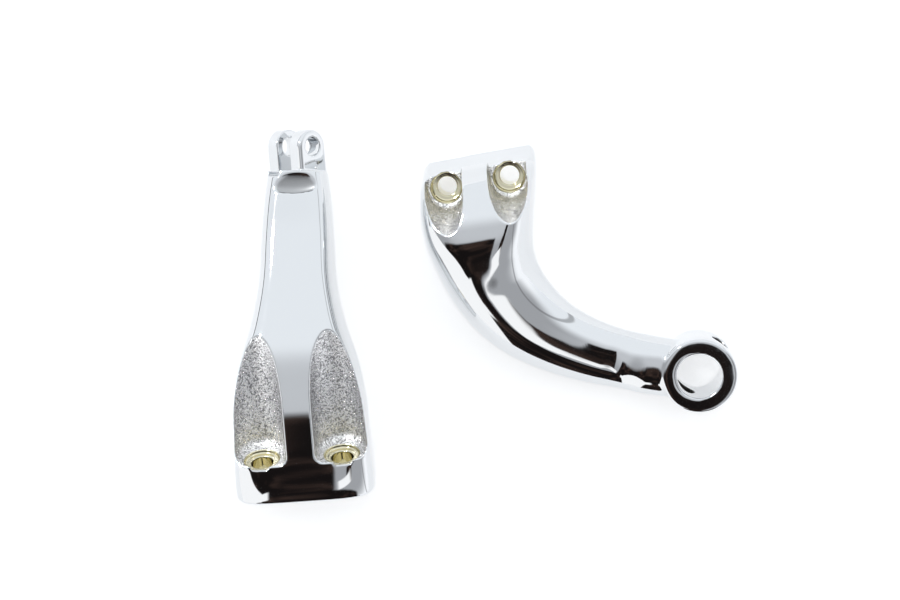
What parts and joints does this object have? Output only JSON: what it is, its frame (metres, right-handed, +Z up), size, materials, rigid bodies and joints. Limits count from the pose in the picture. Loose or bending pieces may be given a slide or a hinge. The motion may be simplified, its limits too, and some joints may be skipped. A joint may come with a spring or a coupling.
{
  "type": "footpeg mount set",
  "caption": "Chromed cast footpeg mounts for a motorbike: a swept arm that ends in an eye, and a straight arm that ends in a fork, each with a pad for two bolts.",
  "frame": {"origin": "bottom centre of the box round both mounts as they lie", "axes": "+Z up from the floor they lie on, +Y from the forked mount's pad towards its fork, +X from the forked mount towards the eyed one"},
  "size_m": [0.252, 0.1874, 0.0534],
  "materials": {
    "chrome_plating": "polished chrome plating, rough as cast inside the bolt pockets"
  },
  "bodies": {
    "root": {"right_mount": "chrome_plating", "left_mount": "chrome_plating"}
  },
  "joints": []
}
